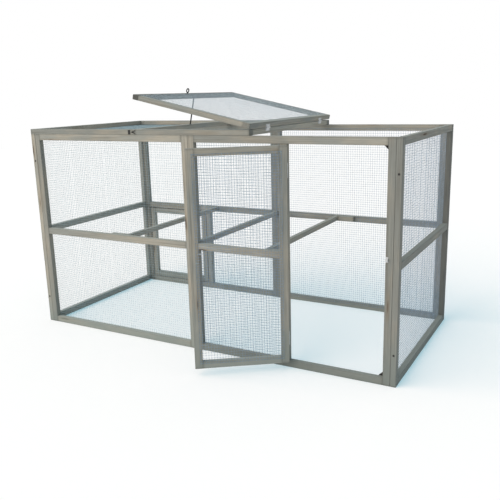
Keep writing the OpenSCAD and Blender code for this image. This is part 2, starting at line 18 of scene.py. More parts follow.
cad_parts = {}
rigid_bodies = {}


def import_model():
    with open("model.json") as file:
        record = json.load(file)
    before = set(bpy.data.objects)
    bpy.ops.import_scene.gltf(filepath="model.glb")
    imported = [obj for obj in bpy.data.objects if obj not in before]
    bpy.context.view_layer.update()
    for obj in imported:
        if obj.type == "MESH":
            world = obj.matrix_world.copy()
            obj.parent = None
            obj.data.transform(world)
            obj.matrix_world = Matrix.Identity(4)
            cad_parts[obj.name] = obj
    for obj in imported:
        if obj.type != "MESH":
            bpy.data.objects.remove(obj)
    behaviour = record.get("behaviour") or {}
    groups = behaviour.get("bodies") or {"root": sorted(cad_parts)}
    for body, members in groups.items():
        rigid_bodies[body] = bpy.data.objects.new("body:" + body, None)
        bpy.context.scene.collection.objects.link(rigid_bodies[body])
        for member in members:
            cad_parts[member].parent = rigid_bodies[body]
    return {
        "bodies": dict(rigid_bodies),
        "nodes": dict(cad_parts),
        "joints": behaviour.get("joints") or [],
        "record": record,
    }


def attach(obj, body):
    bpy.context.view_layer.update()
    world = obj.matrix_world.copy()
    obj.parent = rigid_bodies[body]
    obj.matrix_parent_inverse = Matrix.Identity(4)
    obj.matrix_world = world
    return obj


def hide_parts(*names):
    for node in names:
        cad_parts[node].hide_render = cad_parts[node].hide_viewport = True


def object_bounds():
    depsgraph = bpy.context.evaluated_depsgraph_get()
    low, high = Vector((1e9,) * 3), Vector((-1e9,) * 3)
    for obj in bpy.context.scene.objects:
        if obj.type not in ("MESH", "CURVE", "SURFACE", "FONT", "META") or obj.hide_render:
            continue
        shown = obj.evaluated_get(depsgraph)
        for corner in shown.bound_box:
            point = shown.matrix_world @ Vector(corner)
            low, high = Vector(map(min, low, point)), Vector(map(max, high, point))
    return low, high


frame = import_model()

nodes = frame["nodes"]
cad_low, cad_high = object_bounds()
body_of = {}
for body, names in frame["record"]["behaviour"]["bodies"].items():
    for name in names:
        body_of[name] = body
MM = 0.001
print("nodes", len(nodes), "size", [round(v, 3) for v in cad_high - cad_low])

# %% [markdown]
# ## Working on the run as if it were shut
#
# The lid, the door and what is screwed to them stand at an angle. A maker would build
# them on a flat bench, so each board is worked out in its shut place, where it is square
# to the axes, and then swung open about its hinge. The hinge's line and its two limits
# are in the model's joints: one of the limits is the shut place.

# %% Swing to and from the shut place
# which of a hinge's two limits is the shut place: 0 is the lower one, 1 the upper
SHUT_LIMIT = {"lid_hinge": 0, "door_hinge": 1}
SAME_POINT = 0.01 * MM


def turn_about(joint, angle):
    """The matrix that turns things about a joint's line."""
    place = Vector(joint["pos_m"])
    turn = Matrix.Rotation(angle, 4, Vector(joint["axis"]))
    return Matrix.Translation(place) @ turn @ Matrix.Translation(-place)


shut = {body: Matrix.Identity(4) for body in frame["bodies"]}
for joint in frame["joints"]:
    if joint["name"] in SHUT_LIMIT:
        angle = math.radians(joint["range_deg"][SHUT_LIMIT[joint["name"]]])
        shut[joint["child"]] = turn_about(joint, angle)
        print(joint["child"], "shuts by", round(math.degrees(angle), 1), "degrees")
shut["door_bolt"] = shut["door"]
shut["lid_stay"] = shut["lid"]


def shut_boxes(name):
    """Low and high corners of each loose solid of a node, with the run shut."""
    bm = bmesh.new()
    bm.from_mesh(nodes[name].data)
    bm.transform(shut[body_of[name]])
    bmesh.ops.remove_doubles(bm, verts=bm.verts, dist=SAME_POINT)
    boxes = []
    left = set(bm.verts)
    while left:
        island = []
        stack = [left.pop()]
        while stack:
            vert = stack.pop()
            island.append(vert.co.copy())
            for edge in vert.link_edges:
                other = edge.other_vert(vert)
                if other in left:
                    left.remove(other)
                    stack.append(other)
        low = Vector([min(p[i] for p in island) for i in range(3)])
        high = Vector([max(p[i] for p in island) for i in range(3)])
        boxes.append((low, high))
    bm.free()
    return sorted(boxes, key=lambda box: tuple(round(v, 4) for v in box[0]))


print("lid boards", [[round(v, 3) for v in b[0]] for b in shut_boxes("lid_long_rails")])

# %% [markdown]
# ## Camera
#
# The photograph was taken from in front and to the right, a little above the roof, with
# the camera turned slightly. Its place was worked out from the corners of the run, so
# the picture's lines fall where the photograph's do.

# %% Camera
CAMERA_PLACE = Vector((1.6953, -2.4946, 1.2401))
CAMERA_TURN = 29.04
CAMERA_DOWN = 13.812
CAMERA_ROLL = -1.530
CAMERA_LENS = 45.807
SENSOR = 36.0

yaw = math.radians(CAMERA_TURN)
down = math.radians(CAMERA_DOWN)
roll = math.radians(CAMERA_ROLL)
forward = Vector((-math.sin(yaw) * math.cos(down), math.cos(yaw) * math.cos(down), -math.sin(down)))
level_right = forward.cross(Vector((0, 0, 1))).normalized()
level_up = level_right.cross(forward)
right = level_right * math.cos(roll) + level_up * math.sin(roll)
up = level_up * math.cos(roll) - level_right * math.sin(roll)
camera_data = bpy.data.cameras.new("camera")
camera_data.lens = CAMERA_LENS
camera_data.sensor_width = SENSOR
camera = bpy.data.objects.new("camera", camera_data)
bpy.context.scene.collection.objects.link(camera)
turned = Matrix((right, up, -forward)).transposed().to_4x4()
camera.matrix_world = Matrix.Translation(CAMERA_PLACE) @ turned
bpy.context.scene.camera = camera
print("camera looks along", [round(v, 3) for v in forward])

# %% [markdown]
# ## Helpers for materials
#
# Every finish here is a small network of nodes, and a few helpers keep the networks
# short: they add a node and join its inputs, make a noise that is stretched differently
# along and across, move a value to another range, and mix two colours.

# %% Material helpers
# places of the colour sockets on the node that mixes: amount, first, second and result
MIX_AMOUNT = 0
MIX_FIRST = 6
MIX_SECOND = 7
MIX_RESULT = 2


def new_material(name):
    """A material with an empty network and its shader."""
    material = bpy.data.materials.new(name)
    material.use_nodes = True
    tree = material.node_tree
    tree.nodes.clear()
    output = tree.nodes.new("ShaderNodeOutputMaterial")
    shader = tree.nodes.new("ShaderNodeBsdfPrincipled")
    tree.links.new(shader.outputs["BSDF"], output.inputs["Surface"])
    return material, tree, shader


def add(tree, kind, inputs=None, **settings):
    """Adds a node, sets its options and joins or sets its inputs."""
    node = tree.nodes.new("ShaderNode" + kind)
    for key, value in settings.items():
        setattr(node, key, value)
    for key, value in (inputs or {}).items():
        if isinstance(value, bpy.types.NodeSocket):
            tree.links.new(value, node.inputs[key])
        else:
            node.inputs[key].default_value = value
    return node


def math_node(tree, operation, first, second=0.0, third=0.0):
    """One sum on up to three values."""
    node = add(tree, "Math", {0: first, 1: second, 2: third}, operation=operation)
    return node.outputs[0]


def scaled(tree, vector, scale):
    """A vector with each part multiplied on its own."""
    node = add(tree, "VectorMath", {0: vector, 1: scale}, operation="MULTIPLY")
    return node.outputs["Vector"]


def noise(tree, vector, scale, detail=3.0, distortion=0.0):
    """Noise from 0 to 1, with its own scale along each axis."""
    node = add(tree, "TexNoise", {
        "Vector": scaled(tree, vector, scale), "Scale": 1.0, "Detail": detail, "Distortion": distortion,
    })
    return node.outputs["Fac"]


def mapped(tree, value, low, high, to_low=0.0, to_high=1.0):
    """A value moved from one range to another, and kept inside it."""
    node = add(tree, "MapRange", {
        "Value": value, "From Min": low, "From Max": high, "To Min": to_low, "To Max": to_high,
    })
    return node.outputs["Result"]


def mixed(tree, amount, first, second, blend="MIX"):
    """Two colours mixed."""
    node = add(tree, "Mix", data_type="RGBA", blend_type=blend)
    for place, value in ((MIX_AMOUNT, amount), (MIX_FIRST, first), (MIX_SECOND, second)):
        socket = node.inputs[place]
        if isinstance(value, bpy.types.NodeSocket):
            tree.links.new(value, socket)
        else:
            socket.default_value = value if socket.type == "VALUE" else (*value, 1.0)
    return node.outputs[MIX_RESULT]


def attribute(tree, name):
    """Reads what a mesh says about each of its points."""
    return add(tree, "Attribute", attribute_name=name)


print("helpers ready")

# %% [markdown]
# ## Weathered timber
#
# The battens are planed softwood that has stood outside: a warm grey-brown, greener and
# darker towards the ground, with fine grain along each batten, pale and dark streaks, a few
# knots, and darker arrises and joints. The faces that look up get a painted sheen of the
# bright sky, lighter and greener. A picture of wood would repeat and would run the wrong
# way on half of the battens. So each batten carries three facts of its own, where a point
# is along the grain, how near it is to an edge, and how light the batten is, which is
# partly its own tone and partly painted shade, and the colours are worked out from those.

# %% Timber material
WARM_TIMBER = (0.345, 0.315, 0.260)
GREY_TIMBER = (0.262, 0.266, 0.242)
PALE_TIMBER = (0.440, 0.425, 0.370)
DARK_STREAK = (0.145, 0.135, 0.112)
# painted sheen of the bright sky on the faces that look up
TOP_SHEEN = (0.330, 0.358, 0.335)
# the greener, darker colour towards the ground
LOW_GREEN_GREY = (0.205, 0.236, 0.220)
KNOT_BROWN = (0.080, 0.058, 0.040)
KNOT_RING = (0.25, 0.20, 0.14)
# the grey of the darker arrises and of the end grain
END_GREY = (0.130, 0.130, 0.115)
# how many blots of a noise there are in a metre, along the grain and twice across it
PATCHES = (4.5, 14.0, 14.0)
STREAKS = (2.5, 120.0, 120.0)
FINE_GRAIN = (9.0, 650.0, 650.0)
MOTTLE = (28.0, 60.0, 60.0)
KNOTS = (2.6, 22.0, 22.0)
KNOT_WARP = (14.0, 50.0, 50.0)
# metres: where the greener, darker colour near the ground ends, how far it fades, how deep an end is
# dark
LOW_TINT_HEIGHT = 0.32
LOW_TINT_FADE = 0.13
DARK_END = 0.012
# how much one step of tone lightens a batten, and how much it warms it
TONE_SPREAD = 0.15
TONE_WARMTH = -0.09
GRAIN_RELIEF = 0.5 * MM
GRAIN_STRENGTH = 0.35
TIMBER_ROUGHNESS = 0.82
TIMBER_SHINE = 0.25


def make_timber():
    """The one timber that all battens share."""
    material, tree, shader = new_material("weathered_timber")
    grain = attribute(tree, "grain").outputs["Vector"]
    section = add(tree, "SeparateXYZ", {0: attribute(tree, "section").outputs["Vector"]})
    tone = attribute(tree, "tone").outputs["Fac"]

    # broad weathering, then streaks a few millimetres wide, then the fine grain
    patches = noise(tree, grain, PATCHES, 3.0)
    streaks = noise(tree, grain, STREAKS, 4.0, 0.6)
    fine = noise(tree, grain, FINE_GRAIN, 3.0, 0.2)
    mottle = noise(tree, grain, MOTTLE, 4.0)

    weather = math_node(tree, "MULTIPLY_ADD", tone, TONE_WARMTH, patches)
    colour = mixed(tree, mapped(tree, weather, 0.38, 0.62), WARM_TIMBER, GREY_TIMBER)
    colour = mixed(tree, mapped(tree, streaks, 0.55, 0.78, 0.0, 0.65), colour, PALE_TIMBER)
    colour = mixed(tree, mapped(tree, streaks, 0.47, 0.26, 0.0, 0.65), colour, DARK_STREAK)
    colour = mixed(tree, mapped(tree, fine, 0.50, 0.28, 0.0, 0.50), colour, DARK_STREAK)
    colour = mixed(tree, mapped(tree, mottle, 0.52, 0.30, 0.0, 0.30), colour, GREY_TIMBER)

    # knots: sparse ellipses, with a dark heart and a ring round it
    warp = noise(tree, grain, KNOT_WARP, 1.0)
    cells = add(tree, "TexVoronoi", {"Vector": scaled(tree, grain, KNOTS), "Scale": 1.0})
    knot_distance = math_node(tree, "MULTIPLY_ADD", warp, 0.05, cells.outputs["Distance"])
    heart = mapped(tree, knot_distance, 0.135, 0.085)
    halo = mapped(tree, knot_distance, 0.30, 0.12, 0.0, 0.55)
    colour = mixed(tree, halo, colour, KNOT_RING)
    colour = mixed(tree, heart, colour, KNOT_BROWN)

    # greener and darker towards the ground
    spot = add(tree, "SeparateXYZ", {0: add(tree, "TexCoord").outputs["Object"]})
    low_tint_level = math_node(tree, "MULTIPLY_ADD", patches, -0.25, spot.outputs["Z"])
    low_tint = mapped(tree, low_tint_level, LOW_TINT_HEIGHT - LOW_TINT_FADE, -LOW_TINT_FADE, 0.0, 0.75)
    colour = mixed(tree, low_tint, colour, LOW_GREEN_GREY)

    # painted sheen: the faces that look up are made lighter and greener, as the bright sky lights them
    facing = add(tree, "SeparateXYZ", {0: add(tree, "TexCoord").outputs["Normal"]})
    upward = mapped(tree, facing.outputs["Z"], 0.45, 0.90)
    colour = mixed(tree, math_node(tree, "MULTIPLY", upward, 0.7), colour, TOP_SHEEN)

    # darker along the arrises, less so on faces that look up, and darker end grain at the joints
    side_a = math_node(tree, "ABSOLUTE", section.outputs["X"])
    side_b = math_node(tree, "ABSOLUTE", section.outputs["Y"])
    at_arris = math_node(tree, "MINIMUM", side_a, side_b)
    arris_share = mapped(tree, mottle, 0.25, 0.75, 0.25, 0.85)
    arris_share = math_node(tree, "MULTIPLY", arris_share, mapped(tree, upward, 0.0, 1.0, 1.0, 0.25))
    arris_darkening = math_node(tree, "MULTIPLY", mapped(tree, at_arris, 0.80, 1.0), arris_share)
    colour = mixed(tree, arris_darkening, colour, END_GREY)
    at_end = mapped(tree, section.outputs["Z"], DARK_END, 0.0, 0.0, 0.45)
    colour = mixed(tree, at_end, colour, END_GREY)

    # the batten's tone, partly its own and partly painted shade, and the relief of the grain
    brightness = math_node(tree, "MULTIPLY_ADD", tone, TONE_SPREAD, 1.0)
    shade = add(tree, "CombineColor", {0: brightness, 1: brightness, 2: brightness})
    colour = mixed(tree, 1.0, colour, shade.outputs[0], "MULTIPLY")
    tree.links.new(colour, shader.inputs["Base Color"])
    height = math_node(tree, "MULTIPLY_ADD", streaks, 0.6, fine)
    height = math_node(tree, "MULTIPLY_ADD", heart, -0.4, height)
    bump = add(tree, "Bump", {"Height": height, "Strength": GRAIN_STRENGTH, "Distance": GRAIN_RELIEF})
    tree.links.new(bump.outputs["Normal"], shader.inputs["Normal"])
    shader.inputs["Roughness"].default_value = TIMBER_ROUGHNESS
    shader.inputs["Specular IOR Level"].default_value = TIMBER_SHINE
    return material


timber = make_timber()
print("timber nodes", len(timber.node_tree.nodes))

# %% [markdown]
# ## Battens
#
# A planed batten isn't a perfect box. Its arrises are eased, more in some places than in
# others, and its sawn ends have a small chamfer. Each batten is a row of rounded sections
# from end to end. It lies exactly in its measured box, because the screws and nets on it
# were measured too, and only its arrises are worn inwards.

# %% Battens
TONE_CHANCE = 0.25
# battens lighter or darker than the rest, from the left, front or bottom: partly their own
# weathering and partly painted shade for battens that lie in shade, such as the lid's rails
TONES_AND_SHADE = {
    "front_left_rails": (0.3, 0.1, 0.6),
    "front_left_stiles": (-0.9, 0.3),
    "front_right_rails": (-1.3, 0.0, -0.3),
    "front_right_stiles": (-0.6, -1.5),
    "right_end_stiles": (-1.1, -2.6),
    "right_end_rails": (-0.9, -1.0, -1.3),
    "left_end_stiles": (0.5, -1.0),
    "door_stiles": (0.0, 0.3),
    "door_rails": (1.2, 0.1),
    "hinge_post": (-0.4,),
    "roof_long_rails": (-0.5, -0.4),
    "roof_short_rails": (0.0, 1.2),
    "roof_cross_rail": (0.6,),
    "lid_long_rails": (-3.8, -0.1),
    "lid_short_rails": (0.0, -3.2),
    "back_left_rails": (-0.3, -0.7, 0.0),
    "back_right_rails": (-0.2, 0.2, 0.0),
    "back_left_stiles": (-2.4, -1.1),
    "back_right_stiles": (-1.2, -0.5),
}
ARRIS = 1.6 * MM
# the least and the most that an arris is worn, as shares of ARRIS
ARRIS_WEAR = (0.7, 1.5)
END_CHAMFER = 0.9 * MM
CHAMFER_SLOPE = 0.7
SECTION_STEP = 70 * MM
LEAST_STEPS = 4
CORNER_ANGLES = (0.0, 45.0, 90.0)
# metres of noise in which a batten's own piece of grain may start
GRAIN_ROOM = 40
SEED = 7
draw = random.Random(SEED)


def section_points(half_a, half_b, arris):
    """A rounded rectangle about its middle."""
    points = []
    for quarter in range(4):
        sign_a, sign_b = ((1, 1), (-1, 1), (-1, -1), (1, -1))[quarter]
        middle_a = sign_a * (half_a - arris)
        middle_b = sign_b * (half_b - arris)
        for angle in CORNER_ANGLES:
            turn = math.radians(quarter * 90 + angle)
            points.append((middle_a + arris * math.cos(turn), middle_b + arris * math.sin(turn)))
    return points


def close_rings(bm, rings):
    """Joins each ring of points to the next one with faces, and closes both ends."""
    count = len(rings[0])
    for before, after in zip(rings, rings[1:]):
        for i in range(count):
            j = (i + 1) % count
            bm.faces.new((before[i], before[j], after[j], after[i]))
    bm.faces.new(list(reversed(rings[0])))
    bm.faces.new(rings[-1])


def add_batten(bm, low, high, to_place, lighter):
    """Adds one batten that fills the box from low to high, and notes its facts."""
    grain_layer = bm.verts.layers.float_vector["grain"]
    section_layer = bm.verts.layers.float_vector["section"]
    tone_layer = bm.verts.layers.float["tone"]
    size = high - low
    along = max(range(3), key=lambda i: size[i])
    side_a, side_b = [i for i in range(3) if i != along]
    if along == 1:
        side_a, side_b = side_b, side_a
    half_a, half_b = size[side_a] / 2, size[side_b] / 2
    middle = (low + high) / 2
    steps = max(LEAST_STEPS, 2 * round(size[along] / SECTION_STEP / 2))
    places = [0.0, END_CHAMFER]
    places += [size[along] * i / steps for i in range(1, steps)]
    places += [size[along] - END_CHAMFER, size[along]]
    start = Vector([draw.uniform(0, GRAIN_ROOM) for i in range(3)])
    tone = lighter + draw.uniform(-TONE_CHANCE, TONE_CHANCE)
    rings = []
    for place in places:
        chamfered = place in (places[0], places[-1])
        inset = END_CHAMFER * CHAMFER_SLOPE if chamfered else 0.0
        arris = ARRIS * draw.uniform(*ARRIS_WEAR)
        ring = []
        for a, b in section_points(half_a - inset, half_b - inset, arris):
            spot = Vector((0, 0, 0))
            spot[along] = low[along] + place
            spot[side_a] = middle[side_a] + a
            spot[side_b] = middle[side_b] + b
            vert = bm.verts.new(to_place @ spot)
            vert[grain_layer] = start + Vector((place, a, b))
            vert[section_layer] = Vector((a / half_a, b / half_b, min(place, size[along] - place)))
            vert[tone_layer] = tone
            ring.append(vert)
        rings.append(ring)
    close_rings(bm, rings)


def new_piece(name, bm, material, body):
    """Makes a mesh object from the bmesh and lets it ride on its body."""
    bmesh.ops.recalc_face_normals(bm, faces=bm.faces)
    mesh = bpy.data.meshes.new(name)
    bm.to_mesh(mesh)
    bm.free()
    mesh.materials.append(material)
    piece = bpy.data.objects.new(name, mesh)
    bpy.context.scene.collection.objects.link(piece)
    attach(piece, body)
    return piece


def make_battens(name):
    """The real battens of one node."""
    bm = bmesh.new()
    bm.verts.layers.float_vector.new("grain")
    bm.verts.layers.float_vector.new("section")
    bm.verts.layers.float.new("tone")
    body = body_of[name]
    boxes = shut_boxes(name)
    tones = TONES_AND_SHADE.get(name, [0.0] * len(boxes))
    for (low, high), lighter in zip(boxes, tones):
        add_batten(bm, low, high, shut[body].inverted(), lighter)
    piece = new_piece(name + "_timber", bm, timber, body)
    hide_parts(name)
    return piece


slot_of = {row["node"]: row["material_slot"] for row in frame["record"]["subparts"]}
timber_nodes = sorted(name for name in nodes if slot_of[name] == "timber")
battens = [make_battens(name) for name in timber_nodes]
print("batten pieces", len(battens), "faces", sum(len(p.data.polygons) for p in battens))

# %% [markdown]
# ## Welded mesh
#
# The nets are half-inch welded mesh: straight galvanised wires in two layers, crossing
# square to each other and pressed a little into each other at every weld. A picture of a
# grid on a sheet would look right from one side only and would have no thickness, so
# every wire is a real thin rod. They are few enough for that, about 1300 in all. The
# door and the panels beside it have a slightly stouter mesh. Their zinc is darker and
# bluer as painted shade, and the lid's mesh is paler as painted light from the sky.

# %% Wire material and nets
MESH_PITCH = 12.7 * MM
THIN_WIRE = 0.36 * MM
STOUT_WIRE = 0.52 * MM
# the nets with stouter wire, whose zinc is darker as painted shade
STOUT_SHADED_NETS = ("door_net", "front_right_net", "right_end_net", "back_right_net")
# how far a layer of wires lies from the middle of the net, in wire radii
WELD_PRESS = 0.8
WIRE_SIDES = 6
# bright and dull colours of the zinc on each kind of mesh: painted shade on the stout nets, painted
# light on the lid
GREY_WIRE = ((0.38, 0.50, 0.54), (0.20, 0.27, 0.30))
SHADED_SIDE_WIRE = ((0.24, 0.33, 0.44), (0.12, 0.18, 0.24))
LIT_LID_WIRE = ((0.54, 0.64, 0.70), (0.32, 0.38, 0.42))
# clouds in a metre of zinc
CLOUDS = (35.0, 35.0, 35.0)


def make_galvanised(name, bright, dull, metallic, roughness, spangles):
    """Zinc on steel: a patchy grey with this many crystals in a metre."""
    material, tree, shader = new_material(name)
    place = add(tree, "TexCoord").outputs["Object"]
    crystals = scaled(tree, place, (spangles, spangles, spangles))
    spangle = add(tree, "TexVoronoi", {"Vector": crystals, "Scale": 1.0})
    spots = add(tree, "SeparateXYZ", {0: spangle.outputs["Color"]})
    patches = noise(tree, place, CLOUDS, 4.0)
    amount = math_node(tree, "MULTIPLY_ADD", spots.outputs["X"], 0.3, patches)
    colour = mixed(tree, mapped(tree, amount, 0.40, 0.95), bright, dull)
    tree.links.new(colour, shader.inputs["Base Color"])
    rough = mapped(tree, patches, 0.3, 0.7, roughness - 0.08, roughness + 0.12)
    tree.links.new(rough, shader.inputs["Roughness"])
    shader.inputs["Metallic"].default_value = metallic
    return material


wire_zinc = make_galvanised(
    "wire_zinc", *GREY_WIRE, metallic=0.30, roughness=0.55, spangles=400.0)
shaded_side_zinc = make_galvanised(
    "shaded_side_wire_zinc", *SHADED_SIDE_WIRE, metallic=0.30, roughness=0.55, spangles=400.0)
lit_lid_zinc = make_galvanised(
    "washed_wire_zinc", *LIT_LID_WIRE, metallic=0.20, roughness=0.60, spangles=400.0)
# painted shade on the stout nets, painted light on the lid's mesh
net_zinc = {name: shaded_side_zinc for name in STOUT_SHADED_NETS}
net_zinc["lid_net"] = lit_lid_zinc


def add_rod(bm, start, end, radius, sides):
    """A straight closed rod."""
    axis = (end - start).normalized()
    helper = Vector((0, 0, 1)) if abs(axis.z) < 0.9 else Vector((1, 0, 0))
    side = axis.cross(helper).normalized()
    other = axis.cross(side)
    rings = []
    for spot in (start, end):
        ring = []
        for i in range(sides):
            turn = 2 * math.pi * (i + 0.5) / sides
            out = side * math.cos(turn) + other * math.sin(turn)
            ring.append(bm.verts.new(spot + radius * out))
        rings.append(ring)
    close_rings(bm, rings)


def net_axes(low, high):
    """The thin axis of a net and its two long ones."""
    size = high - low
    thin = min(range(3), key=lambda i: size[i])
    first, second = [i for i in range(3) if i != thin]
    return thin, first, second


def make_net(name):
    """Two layers of wires in the measured sheet's place."""
    bm = bmesh.new()
    body = body_of[name]
    opened = shut[body].inverted()
    radius = STOUT_WIRE if name in STOUT_SHADED_NETS else THIN_WIRE
    wires = 0
    for low, high in shut_boxes(name):
        thin, first, second = net_axes(low, high)
        middle = (low[thin] + high[thin]) / 2
        away = min(WELD_PRESS * radius, (high[thin] - low[thin]) / 2 - radius)
        for across, layer in ((second, middle - away), (first, middle + away)):
            width = high[across] - low[across] - 2 * radius
            count = int(width / MESH_PITCH)
            offset = low[across] + radius + (width - count * MESH_PITCH) / 2
            for i in range(count + 1):
                start, end = Vector(low), Vector(high)
                for spot in (start, end):
                    spot[across] = offset + i * MESH_PITCH
                    spot[thin] = layer
                add_rod(bm, opened @ start, opened @ end, radius, WIRE_SIDES)
                wires += 1
    piece = new_piece(name + "_wires", bm, net_zinc.get(name, wire_zinc), body)
    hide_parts(name)
    return wires


net_nodes = sorted(name for name in nodes if slot_of[name] == "net")
print("wires", sum(make_net(name) for name in net_nodes))

# %% [markdown]
# ## Metal fittings
#
# Hinges, bolts and keepers are zinc plated: pale, satin and slightly cloudy. The stay,
# its bracket, the pull ring, the catch, the corner stops and the screws in the front
# edges are black. Their measured shapes are right as they are, so only their finish is
# added here.

# %% Fittings' materials
ZINC_BRIGHT = (0.64, 0.65, 0.66)
ZINC_DULL = (0.40, 0.41, 0.41)
BLACK_PAINT = (0.012, 0.012, 0.013)
BLACK_WORN = (0.040, 0.036, 0.032)
# specks of dust in a metre, and how deep they are
DUST = (120.0, 120.0, 120.0)
DUST_RELIEF = 0.2 * MM

plated_zinc = make_galvanised(
    "plated_zinc", ZINC_BRIGHT, ZINC_DULL, metallic=0.60, roughness=0.42, spangles=900.0)


def make_black():
    """Black paint, a little worn and dusty."""
    material, tree, shader = new_material("black_paint")
    place = add(tree, "TexCoord").outputs["Object"]
    dust = noise(tree, place, DUST, 5.0)
    colour = mixed(tree, mapped(tree, dust, 0.50, 0.75), BLACK_PAINT, BLACK_WORN)
    tree.links.new(colour, shader.inputs["Base Color"])
    tree.links.new(mapped(tree, dust, 0.3, 0.7, 0.50, 0.72), shader.inputs["Roughness"])
    shader.inputs["Specular IOR Level"].default_value = 0.3
    bump = add(tree, "Bump", {"Height": dust, "Strength": 0.2, "Distance": DUST_RELIEF})
    tree.links.new(bump.outputs["Normal"], shader.inputs["Normal"])
    return material


black_paint = make_black()
finish_of = {"zinc_fittings": plated_zinc, "black_fittings": black_paint}
for name, slot in slot_of.items():
    if slot in finish_of:
        nodes[name].data.materials.clear()
        nodes[name].data.materials.append(finish_of[slot])
print("fittings", sum(slot in finish_of for slot in slot_of.values()))

# %% [markdown]
# ## Staples
#
# The nets are stapled to the inside of the battens, a hand's width apart. A staple is a
# bent wire, so it is a thin tube along four points: two legs that go into the timber and
# the crown between them, which lies on the net. Staplers are never held quite straight,
# so each one is turned a little.

# %% Staples
STAPLE_SPACING = 112 * MM
STAPLE_INSET = 6 * MM
STAPLE_LENGTH = 10 * MM
STAPLE_RADIUS = 0.5 * MM
STAPLE_LEG = 2.5 * MM
STAPLE_SIDES = 6
# how far from square a staple may be held, in radians
STAPLE_TURN = 0.45
# a direction that no leg or crown of a staple runs along
SKEW = Vector((0.31, 0.52, 0.79))
# metres: a net taller than this is also stapled to the middle rail
TALL_NET = 0.9
# a point in the middle of the run tells a net's inner side from its outer one
BACK_FITTINGS = 13 * MM
HALF_HEIGHT = 0.5
run_middle = Vector((0.0, (cad_high.y - BACK_FITTINGS) / 2, HALF_HEIGHT))
mid_rail = shut_boxes("front_left_rails")
mid_rail_z = sorted((low.z + high.z) / 2 for low, high in mid_rail)[1]


def add_tube(bm, points, radius, sides):
    """A closed tube along a few points."""
    rings = []
    for i, spot in enumerate(points):
        before = points[max(i - 1, 0)]
        after = points[min(i + 1, len(points) - 1)]
        axis = (after - before).normalized()
        side = axis.cross(SKEW).normalized()
        other = axis.cross(side)
        ring = []
        for k in range(sides):
            turn = 2 * math.pi * k / sides
            out = side * math.cos(turn) + other * math.sin(turn)
            ring.append(bm.verts.new(spot + radius * out))
        rings.append(ring)
    close_rings(bm, rings)


def unit(axis):
    """One step along an axis."""
    return Vector([1.0 if i == axis else 0.0 for i in range(3)])


def outward(thin, spot, body):
    """The side of a net that takes the staples: inside the run, or on top of the lid."""
    if body == "lid":
        return 1.0
    return 1.0 if run_middle[thin] > spot[thin] else -1.0


def staple_spots(low, high, first, second):
    """Places along a net's four edges, and along the middle rail behind a tall one."""
    spots = []
    rows = []
    for along, across in ((first, second), (second, first)):
        rows.append((along, across, low[across] + STAPLE_INSET))
        rows.append((along, across, high[across] - STAPLE_INSET))
    if second == 2 and high.z - low.z > TALL_NET:
        rows.append((first, second, mid_rail_z))
    for along, across, place in rows:
        length = high[along] - low[along] - 2 * STAPLE_INSET
        count = round(length / STAPLE_SPACING)
        for i in range(count + 1):
            spot = Vector(low)
            spot[along] = low[along] + STAPLE_INSET + length * i / count
            spot[across] = place
            spots.append((spot, along, across))
    return spots


def make_staples(name):
    """The staples of one net, each bent from four points."""
    bm = bmesh.new()
    body = body_of[name]
    opened = shut[body].inverted()
    count = 0
    for low, high in shut_boxes(name):
        thin, first, second = net_axes(low, high)
        side = outward(thin, low, body)
        face = high[thin] if side > 0 else low[thin]
        for spot, along, across in staple_spots(low, high, first, second):
            turn = draw.uniform(-STAPLE_TURN, STAPLE_TURN)
            crown = unit(across) * math.cos(turn) + unit(along) * math.sin(turn)
            spot[thin] = face + side * STAPLE_RADIUS
            into = -side * STAPLE_LEG * unit(thin)
            half = crown * STAPLE_LENGTH / 2
            bent = (spot - half + into, spot - half, spot + half, spot + half + into)
            add_tube(bm, [opened @ p for p in bent], STAPLE_RADIUS, STAPLE_SIDES)
            count += 1
    new_piece(name.replace("_net", "_staples"), bm, wire_zinc, body)
    return count


print("staples", sum(make_staples(name) for name in net_nodes))

# %% [markdown]
# ## Small screws
#
# Hinges, bolt cases and keepers are held by small cross-head screws. A head is a low
# dome with a cross pressed into it. A disc with a painted cross would go flat in any view
# from the side, so the cross is cut into the shape. All the rings of the dome have their
# points at the same twelve angles as the corners of the cross, and the faces join up one
# to one.

# %% Screw heads
HEAD_HEIGHT = 0.9 * MM
CROSS_REACH = 0.52
CROSS_HALF = 0.14
CROSS_DEPTH = 0.7 * MM
# share of the radius, and share of the height, of each ring of the dome
DOME = ((1.0, -0.4), (1.0, 0.30), (0.86, 0.72), (0.66, 1.0))
# how thick the hinges' leaves and the plates are
SHEET = 1.5 * MM
LEAF_SCREW = 3.0 * MM
LEAF_SCREW_INSET = 5.6 * MM
PLATE_SCREW = 2.2 * MM
# places of the screws, as shares of the leaf's or the plate's size from its middle
LID_LEAF = (-0.30, 0.30)
OTHER_LEAF = (-0.36, 0.0, 0.36)
FOUR_CORNERS = [(x, z) for x in (-0.38, 0.38) for z in (-0.37, 0.37)]
TOP_AND_BOTTOM = [(0.0, -0.37), (0.0, 0.37)]
PLATES = {
    "door_bolt_case": FOUR_CORNERS,
    "hatch_bolt_case": FOUR_CORNERS,
    "door_keeper": TOP_AND_BOTTOM,
    "hatch_keeper": TOP_AND_BOTTOM,
}


def cross_corners():
    """The twelve corners of a cross, all the way round."""
    corners = []
    for quarter in range(4):
        turn = Matrix.Rotation(math.radians(90 * quarter), 2)
        corners.append(turn @ Vector((CROSS_REACH, -CROSS_HALF)))
        corners.append(turn @ Vector((CROSS_REACH, CROSS_HALF)))
        corners.append(turn @ Vector((CROSS_HALF, CROSS_HALF)))
    return corners


